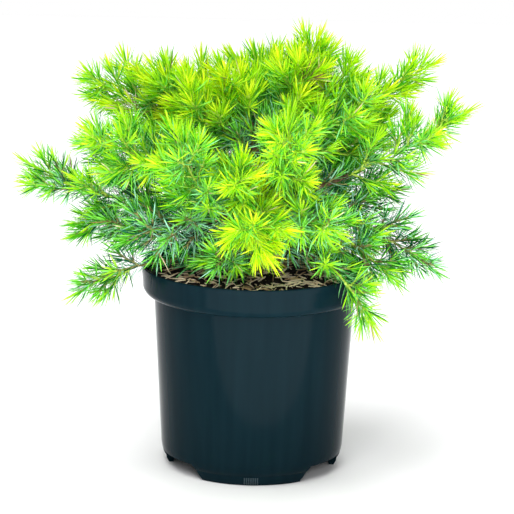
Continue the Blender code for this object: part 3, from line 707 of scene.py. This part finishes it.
def joined(parts):
    """Return the vertices and triangles of several meshes as one."""
    verts = []
    tris = []
    count = 0
    for part_verts, part_tris in parts:
        verts.append(part_verts)
        tris.append(np.asarray(part_tris) + count)
        count += len(part_verts)
    return np.concatenate(verts), np.concatenate(tris)


def principled(name, colour, roughness, specular=0.5, index=1.5):
    """Return a principled material and its shader node."""
    material = bpy.data.materials.new(name)
    material.use_nodes = True
    shader = material.node_tree.nodes["Principled BSDF"]
    shader.inputs["Base Color"].default_value = (*colour, 1.0)
    shader.inputs["Roughness"].default_value = roughness
    shader.inputs["Specular IOR Level"].default_value = specular
    shader.inputs["IOR"].default_value = index
    return material, shader


def mottled(name, look):
    """Return a material whose colour wanders between two tones, with some relief."""
    material, shader = principled(name, look.dark, look.roughness, MOTTLE_SPECULAR)
    tree = material.node_tree
    place = tree.nodes.new("ShaderNodeTexCoord")
    mapping = tree.nodes.new("ShaderNodeMapping")
    mapping.inputs["Scale"].default_value = look.stretch
    noise = tree.nodes.new("ShaderNodeTexNoise")
    noise.inputs["Scale"].default_value = look.scale
    noise.inputs["Detail"].default_value = look.detail
    ramp = tree.nodes.new("ShaderNodeValToRGB")
    ramp.color_ramp.elements[0].position = MOTTLE_FROM
    ramp.color_ramp.elements[0].color = (*look.dark, 1.0)
    ramp.color_ramp.elements[1].position = MOTTLE_TO
    ramp.color_ramp.elements[1].color = (*look.light, 1.0)
    tree.links.new(place.outputs["Object"], mapping.inputs["Vector"])
    tree.links.new(mapping.outputs["Vector"], noise.inputs["Vector"])
    tree.links.new(noise.outputs["Fac"], ramp.inputs["Fac"])
    tree.links.new(ramp.outputs["Color"], shader.inputs["Base Color"])
    if look.relief:
        bump = tree.nodes.new("ShaderNodeBump")
        bump.inputs["Strength"].default_value = look.relief
        bump.inputs["Distance"].default_value = MOTTLE_DEPTH
        tree.links.new(noise.outputs["Fac"], bump.inputs["Height"])
        tree.links.new(bump.outputs["Normal"], shader.inputs["Normal"])
    return material


def needle_material(name, colour):
    """Return the material of one face of the needles."""
    material, _ = principled(name, colour, NEEDLE_ROUGHNESS, NEEDLE_SPECULAR)
    return material


def build_needles(sprays):
    """Build all the needles, joined by colour into pieces."""
    by_colour = [[] for _ in NEEDLE_COLOURS]
    for number, spray in enumerate(sprays):
        for needle in clear_of_pot(spray_needles(spray, number)):
            by_colour[needle.kind].append(needle)
    most = PIECE_TRIANGLES // NEEDLE_TRIANGLES
    for colour, needles in zip(NEEDLE_COLOURS, by_colour):
        outer = needle_material("needle_" + colour.name, colour.outer)
        upper = needle_material("needle_upper_" + colour.name, colour.upper)
        for start in range(0, len(needles), most):
            verts, tris, finish = needle_meshes(needles[start : start + most])
            name = f"needles_{colour.name}_{start // most}"
            piece = mesh_object(name, verts, tris, (outer, upper), finish)
            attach(piece, "root")
            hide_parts(*FOLIAGE_NODES)


def build_twigs(sprays):
    """Build the thin twigs that carry the needles, the young ones pale and the old ones brown."""
    for name, slot, dark, light in TWIG_KINDS:
        young = slot == "young_needles"
        parts = []
        for number, spray in enumerate(sprays):
            if (spray.tone > YOUNG_TWIG_TONE) != young:
                continue
            path = resample(spray.path, TWIG_STEP)
            radii = np.linspace(TWIG_ROOT_RADIUS, TWIG_TIP_RADIUS, len(path))
            parts.append(tube_mesh(path, radii, TWIG_SIDES, TWIG_RELIEF, number))
        verts, tris = joined(parts)
        look = Mottling(dark, light, TWIG_SCALE, TWIG_ROUGHNESS, TWIG_DETAIL, 0.0, EVEN)
        twigs = mesh_object(name, verts, tris, (mottled(name, look),), smooth=True)
        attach(twigs, "root")
        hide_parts(*FOLIAGE_NODES)


def build_stem(bark):
    """Build the stem with rough bark."""
    heights = np.arange(0.0, STEM_HEIGHT + BARK_STEP, BARK_STEP).clip(0.0, STEM_HEIGHT)
    path = np.array([stem_centre(height) for height in heights])
    radii = [stem_radius(height) for height in heights]
    verts, tris = tube_mesh(path, radii, STEM_SIDES, BARK_RELIEF, STEM_SEED)
    stem = mesh_object("stem_bark", verts, tris, (bark,), smooth=True)
    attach(stem, "root")
    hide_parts("main_stem")


def build_boughs(bark):
    """Build the bare part of every limb with rough bark."""
    parts = []
    for limb in LIMBS:
        whole = limb_path(limb)
        total = lengths_along(whole)[-1] - BUD_LENGTH
        stretch = resample(cut_path(whole, STEM_TOP_RADIUS, total * limb.bare), BARK_STEP)
        radii = np.linspace(BOUGH_ROOT_RADIUS, BOUGH_TIP_RADIUS, len(stretch))
        parts.append(tube_mesh(stretch, radii, BOUGH_SIDES, BARK_RELIEF, limb.seed))
    verts, tris = joined(parts)
    boughs = mesh_object("bough_bark", verts, tris, (bark,), smooth=True)
    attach(boughs, "root")
    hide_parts(*BOUGH_NODES)


def turned(name, profile, steps):
    """Return a turned mesh from a profile of radius and height pairs, on the pot's axis."""
    mesh = bmesh.new()
    verts = [mesh.verts.new((radius, 0.0, height)) for radius, height in profile]
    for first, second in zip(verts, verts[1:]):
        mesh.edges.new((first, second))
    data = bpy.data.meshes.new(name)
    mesh.to_mesh(data)
    mesh.free()
    obj = bpy.data.objects.new(name, data)
    bpy.context.scene.collection.objects.link(obj)
    screw = obj.modifiers.new("turn", "SCREW")
    screw.axis = "Z"
    screw.steps = steps
    screw.render_steps = steps
    screw.use_merge_vertices = True
    screw.merge_threshold = MERGE_DISTANCE
    return obj


def apply_modifiers(obj):
    """Replace an object's mesh by its evaluated one and drop the modifiers."""
    graph = bpy.context.evaluated_depsgraph_get()
    data = bpy.data.meshes.new_from_object(obj.evaluated_get(graph))
    obj.modifiers.clear()
    obj.data = data


def arc(centre, radius, first, last, count):
    """Return points on an arc in the profile plane, with angles in degrees."""
    angles = np.radians(np.linspace(first, last, count + 1))
    across, height = centre
    return [(across + radius * math.cos(angle), height + radius * math.sin(angle)) for angle in angles]


def pot_profile():
    """Return the pot's profile: up the inside, over the lip, down the outside and under the base."""
    band_foot = POT_HEIGHT - RIM_BAND
    floor = BASE_UNDERSIDE + BASE_THICKNESS
    lip = WALL / 2.0
    shoulder = (RIM_RADIUS - SHOULDER_INSET - SHOULDER_RADIUS, band_foot + SHOULDER_RADIUS)
    inside = [
        (0.0, floor),
        (BODY_FOOT_RADIUS - WALL - FLOOR_ROUNDING, floor),
        (BODY_FOOT_RADIUS - WALL, floor + FLOOR_RISE),
        (BODY_TOP_RADIUS - WALL, band_foot - BAND_STEP),
        (RIM_RADIUS - WALL - BAND_INSET, band_foot + BAND_SLOPE),
    ]
    outside = arc((RIM_RADIUS - lip, POT_HEIGHT - lip), lip, 180.0, 0.0, LIP_POINTS)
    outside += [(RIM_RADIUS - inset, band_foot + rise) for inset, rise in BAND_PROFILE]
    outside += arc(shoulder, SHOULDER_RADIUS, 0.0, SHOULDER_END, SHOULDER_POINTS)
    outside += [(BODY_TOP_RADIUS + proud, band_foot + rise) for proud, rise in BODY_TOP_PROFILE]
    outside.append((BODY_FOOT_RADIUS, CORNER_HEIGHT))
    outside += [(BODY_FOOT_RADIUS - inset, height) for inset, height in CORNER_PROFILE]
    outside += [(FOOT_RADIUS + proud, height) for proud, height in FOOT_PROFILE]
    under = [
        (FOOT_RADIUS - FOOT_RING_WIDTH, 0.0),
        (FOOT_RADIUS - FOOT_RING_WIDTH, BASE_UNDERSIDE),
        (0.0, BASE_UNDERSIDE),
    ]
    return inside + outside + under


def notch_cutter(bearing):
    """Return a wedge that cuts one notch out of the foot ring."""
    mesh = bmesh.new()
    slope = (NOTCH_HALF_ANGLE_TOP - NOTCH_HALF_ANGLE_GROUND) / BASE_UNDERSIDE
    levels = (
        (NOTCH_FOOT, NOTCH_HALF_ANGLE_GROUND + slope * NOTCH_FOOT),
        (BASE_UNDERSIDE, NOTCH_HALF_ANGLE_TOP),
    )
    corners = (
        (NOTCH_INNER_RADIUS, -1),
        (NOTCH_OUTER_RADIUS, -1),
        (NOTCH_OUTER_RADIUS, 1),
        (NOTCH_INNER_RADIUS, 1),
    )
    for height, half in levels:
        for radius, sign in corners:
            turn = math.radians(bearing + sign * half)
            mesh.verts.new((radius * math.cos(turn), radius * math.sin(turn), height))
    bmesh.ops.convex_hull(mesh, input=mesh.verts[:])
    bmesh.ops.recalc_face_normals(mesh, faces=mesh.faces)
    data = bpy.data.meshes.new("notch_cutter")
    mesh.to_mesh(data)
    mesh.free()
    cutter = bpy.data.objects.new("notch_cutter", data)
    bpy.context.scene.collection.objects.link(cutter)
    return cutter


def plastic_material():
    """Return the pot's dark plastic: a gloss and a tone that wander along faint drag lines."""
    material, shader = principled("pot_plastic", POT_COLOUR, POT_ROUGHNESS, index=POT_INDEX)
    tree = material.node_tree
    place = tree.nodes.new("ShaderNodeTexCoord")
    mapping = tree.nodes.new("ShaderNodeMapping")
    mapping.inputs["Scale"].default_value = DRAG_STRETCH
    noise = tree.nodes.new("ShaderNodeTexNoise")
    noise.inputs["Scale"].default_value = DRAG_SCALE
    noise.inputs["Detail"].default_value = DRAG_DETAIL
    gloss = tree.nodes.new("ShaderNodeMapRange")
    gloss.inputs["To Min"].default_value, gloss.inputs["To Max"].default_value = DRAG_ROUGHNESS
    tint = tree.nodes.new("ShaderNodeValToRGB")
    for element, (position, colour) in zip(tint.color_ramp.elements, DRAG_TONES):
        element.position = position
        element.color = colour
    bump = tree.nodes.new("ShaderNodeBump")
    bump.inputs["Strength"].default_value = DRAG_RELIEF
    bump.inputs["Distance"].default_value = DRAG_DEPTH
    tree.links.new(place.outputs["Object"], mapping.inputs["Vector"])
    tree.links.new(mapping.outputs["Vector"], noise.inputs["Vector"])
    tree.links.new(noise.outputs["Fac"], gloss.inputs["Value"])
    tree.links.new(noise.outputs["Fac"], tint.inputs["Fac"])
    tree.links.new(noise.outputs["Fac"], bump.inputs["Height"])
    tree.links.new(gloss.outputs["Result"], shader.inputs["Roughness"])
    tree.links.new(tint.outputs["Color"], shader.inputs["Base Color"])
    tree.links.new(bump.outputs["Normal"], shader.inputs["Normal"])
    return material


def build_pot():
    """Build the pot with its rim band, the step above its foot and three feet."""
    pot = turned("pot_shell", pot_profile(), POT_STEPS)
    apply_modifiers(pot)
    cutters = [notch_cutter(bearing) for bearing in NOTCH_BEARINGS]
    for cutter in cutters:
        cut = pot.modifiers.new("notch", "BOOLEAN")
        cut.operation = "DIFFERENCE"
        cut.solver = "EXACT"
        cut.object = cutter
    apply_modifiers(pot)
    for cutter in cutters:
        bpy.data.objects.remove(cutter, do_unlink=True)
    pot.data.materials.clear()
    pot.data.materials.append(plastic_material())
    pot.data.shade_smooth()
    pot.data.set_sharp_from_angle(angle=SHARP_ANGLE)
    pot.data.transform(Matrix.Translation(tuple(AXIS)))
    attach(pot, "root")
    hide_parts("pot")
    build_tab()


def build_tab():
    """Build the small ribbed tab in the middle of the front foot."""
    material, _ = principled("pot_tab", TAB_COLOUR, TAB_ROUGHNESS, TAB_SPECULAR)
    parts = []
    pitch = TAB_WIDTH / TAB_RIBS
    for number in range(TAB_RIBS):
        across = (number - (TAB_RIBS - 1) / 2.0) * pitch
        front = -math.sqrt((FOOT_RADIUS + TAB_PROUD) ** 2 - across**2)
        low = np.array((across, front, TAB_FOOT))
        high = low + np.array((0.0, -TAB_LEAN, TAB_RISE))
        path = np.array((low, (low + high) / 2.0, high))
        parts.append(tube_mesh(path, (pitch * RIB_GIRTH,) * 3, RIB_SIDES, 0.0, number))
    verts, tris = joined(parts)
    tab = mesh_object("foot_tab", verts, tris, (material,), smooth=True)
    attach(tab, "root")


def soil_height(x, y):
    """Return the height of the growing medium at a place, without its roughness."""
    across = np.hypot(x, y) / SOIL_RADIUS
    return SOIL_TOP - SOIL_EDGE_DROP * across**2


def soil_mesh(rng):
    """Return vertices and triangles of the growing medium's rough top."""
    radii = np.linspace(0.0, SOIL_RADIUS, SOIL_RINGS)
    turns = np.arange(SOIL_SPOKES) * 2.0 * math.pi / SOIL_SPOKES
    x = radii[:, None] * np.cos(turns)[None, :]
    y = radii[:, None] * np.sin(turns)[None, :]
    lumps = np.zeros_like(x)
    for scale in SOIL_WAVES:
        shift = rng.uniform(0.0, SOIL_SHIFT_MOST, SOIL_SHIFTS)
        waves = np.sin(x * scale + shift[0]) * np.sin(y * scale * SOIL_WAVE_SKEW + shift[1])
        lumps += waves * SOIL_WAVES[0] / scale
    rough = rng.uniform(-0.5, 0.5, x.shape)
    edge = np.clip((SOIL_RADIUS - radii) / SOIL_SMOOTH_EDGE, 0.0, 1.0)[:, None]
    z = soil_height(x, y) + SOIL_ROUGHNESS * 0.5 * (lumps + rough) * edge
    verts = np.stack((x, y, z), axis=2).reshape(-1, 3)
    tris = []
    for ring in range(SOIL_RINGS - 1):
        for spoke in range(SOIL_SPOKES):
            low = ring * SOIL_SPOKES + spoke
            onward = ring * SOIL_SPOKES + (spoke + 1) % SOIL_SPOKES
            tris.append((low, low + SOIL_SPOKES, onward + SOIL_SPOKES))
            tris.append((low, onward + SOIL_SPOKES, onward))
    return verts, tris


def build_soil():
    """Build the rough top of the growing medium, its pale wood shreds and its crumbs."""
    rng = np.random.RandomState(SOIL_SEED)
    verts, tris = soil_mesh(rng)
    dark = mottled("peat", PEAT)
    soil = mesh_object("peat_top", verts, tris, (dark,))
    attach(soil, "root")
    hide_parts("growing_medium")
    build_shreds(rng)
    build_crumbs(rng, dark)


def soil_place(rng, most):
    """Return a random place on the growing medium."""
    across = most * math.sqrt(rng.uniform(0.0, 1.0))
    turn = rng.uniform(0.0, 2.0 * math.pi)
    return across * math.cos(turn), across * math.sin(turn)


def shred_mesh(rng, number):
    """Return the mesh of one shred on the growing medium, or None where it would reach the pot's wall."""
    x, y = soil_place(rng, SOIL_RADIUS - SHRED_MARGIN)
    turn = rng.uniform(0.0, 2.0 * math.pi)
    length = rng.uniform(*SHRED_LENGTHS)
    bow = rng.uniform(-SHRED_BOW, SHRED_BOW)
    lift = rng.uniform(*SHRED_LIFTS)
    tilt = rng.uniform(-SHRED_TILT, SHRED_TILT)
    steps = np.linspace(-0.5, 0.5, SHRED_POINTS)
    ahead = np.array((math.cos(turn), math.sin(turn)))
    left = np.array((-ahead[1], ahead[0]))
    flat = length * (steps[:, None] * ahead + 2.0 * bow * (steps**2)[:, None] * left)
    across = x + flat[:, 0]
    depth = y + flat[:, 1]
    if np.any(np.hypot(across, depth) >= SOIL_RADIUS - SHRED_WALL_MARGIN):
        return None
    heights = soil_height(across, depth) + lift + steps * tilt * length
    radii = rng.uniform(*SHRED_GIRTHS) * (1.0 - np.abs(steps))
    return tube_mesh(np.column_stack((across, depth, heights)), radii, SHRED_SIDES, GRAIN_RELIEF, number)


def build_shreds(rng):
    """Build the pale and tan wood shreds that lie on the growing medium."""
    for kind in SHRED_KINDS:
        material, _ = principled(kind.name, kind.colour, kind.roughness, SHRED_SPECULAR)
        parts = [shred_mesh(rng, number) for number in range(int(SHREDS * kind.share))]
        verts, tris = joined([part for part in parts if part is not None])
        shreds = mesh_object(kind.name, verts, tris, (material,))
        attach(shreds, "root")
        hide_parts("growing_medium")


def build_crumbs(rng, material):
    """Build the dark crumbs of peat."""
    parts = []
    for number in range(CRUMBS):
        x, y = soil_place(rng, SOIL_RADIUS - CRUMB_MARGIN)
        size = rng.uniform(*CRUMB_SIZES)
        height = soil_height(x, y) + rng.uniform(0.0, CRUMB_LIFT)
        turn = rng.uniform(0.0, 2.0 * math.pi)
        slope = rng.uniform(-CRUMB_TILT, CRUMB_TILT)
        ahead = np.array((math.cos(turn), math.sin(turn), slope)) * size
        centre = np.array((x, y, height))
        path = np.array((centre - ahead, centre, centre + ahead))
        radii = [size * girth for girth in CRUMB_GIRTHS]
        parts.append(tube_mesh(path, radii, CRUMB_SIDES, GRAIN_RELIEF, number))
    verts, tris = joined(parts)
    crumbs = mesh_object("peat_crumbs", verts, tris, (material,))
    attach(crumbs, "root")
    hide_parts("growing_medium")


def build_floor():
    """Build the plain pale floor."""
    material, _ = principled("floor", FLOOR_COLOUR, FLOOR_ROUGHNESS, FLOOR_SPECULAR)
    bpy.ops.mesh.primitive_plane_add(size=FLOOR_SIZE, location=(0.0, 0.0, 0.0))
    floor = bpy.context.object
    floor.name = "floor"
    floor.data.materials.append(material)


def build_world():
    """Light the scene softly from all round, with a white surround for the camera."""
    world = bpy.data.worlds.new("surround")
    bpy.context.scene.world = world
    world.use_nodes = True
    tree = world.node_tree
    tree.nodes.clear()
    output = tree.nodes.new("ShaderNodeOutputWorld")
    soft = tree.nodes.new("ShaderNodeBackground")
    soft.inputs["Color"].default_value = WHITE
    soft.inputs["Strength"].default_value = SOFT_STRENGTH
    white = tree.nodes.new("ShaderNodeBackground")
    white.inputs["Color"].default_value = WHITE
    rays = tree.nodes.new("ShaderNodeLightPath")
    mix = tree.nodes.new("ShaderNodeMixShader")
    tree.links.new(rays.outputs["Is Camera Ray"], mix.inputs["Fac"])
    tree.links.new(soft.outputs["Background"], mix.inputs[1])
    tree.links.new(white.outputs["Background"], mix.inputs[2])
    tree.links.new(mix.outputs["Shader"], output.inputs["Surface"])


def standing(across, over, back, place):
    """Return the matrix of an object from its three axes and its place."""
    turn = np.identity(4)
    turn[:3, 0], turn[:3, 1], turn[:3, 2], turn[:3, 3] = across, over, back, place
    return Matrix(turn.tolist())


def add_box(box):
    """Add one soft box that shines from its place towards its target."""
    data = bpy.data.lights.new(box.name, "AREA")
    data.shape = "RECTANGLE"
    data.size, data.size_y = box.size
    data.energy = box.power
    obj = bpy.data.objects.new(box.name, data)
    ahead = unit(np.array(box.target) - np.array(box.place))
    right = unit(np.cross(ahead, (0.0, 0.0, 1.0)))
    obj.matrix_world = standing(right, np.cross(right, ahead), -ahead, box.place)
    bpy.context.scene.collection.objects.link(obj)


def add_patch_light():
    """Add the light on the ground in front, whose image shows in the pot's gloss."""
    data = bpy.data.lights.new("patch_light", "SPOT")
    data.use_square = True
    data.spot_size = PATCH_ANGLE
    data.spot_blend = PATCH_BLEND
    data.shadow_soft_size = PATCH_SOFTNESS
    data.energy = PATCH_POWER
    obj = bpy.data.objects.new("patch_light", data)
    obj.location = PATCH_LIGHT
    bpy.context.scene.collection.objects.link(obj)


def build_camera():
    """Set the camera where the photo was taken from."""
    level = math.cos(CAMERA_PITCH)
    bearing = np.array((math.sin(CAMERA_TURN), math.cos(CAMERA_TURN), 0.0))
    ahead = bearing * level - np.array((0.0, 0.0, math.sin(CAMERA_PITCH)))
    right = np.array((math.cos(CAMERA_TURN), -math.sin(CAMERA_TURN), 0.0))
    over = np.cross(right, ahead)
    across = right * math.cos(CAMERA_ROLL) + over * math.sin(CAMERA_ROLL)
    upright = over * math.cos(CAMERA_ROLL) - right * math.sin(CAMERA_ROLL)
    place = AXIS + np.array((0.0, -CAMERA_BACK, CAMERA_HEIGHT))
    data = bpy.data.cameras.new("camera")
    data.lens = CAMERA_LENS
    data.sensor_width = SENSOR
    camera = bpy.data.objects.new("camera", data)
    camera.matrix_world = standing(across, upright, -ahead, place)
    bpy.context.scene.collection.objects.link(camera)
    bpy.context.scene.camera = camera


def build_scene():
    """Build every piece, the stage, the lights and the camera."""
    sprays = [spray for limb in LIMBS for spray in limb_sprays(limb)]
    build_needles(sprays)
    build_twigs(sprays)
    bark = mottled("bark", BARK)
    build_stem(bark)
    build_boughs(bark)
    build_pot()
    build_soil()
    build_floor()
    build_world()
    for box in SOFT_BOXES:
        add_box(box)
    add_patch_light()
    build_camera()


build_scene()
bpy.context.scene.view_settings.view_transform = "Standard"
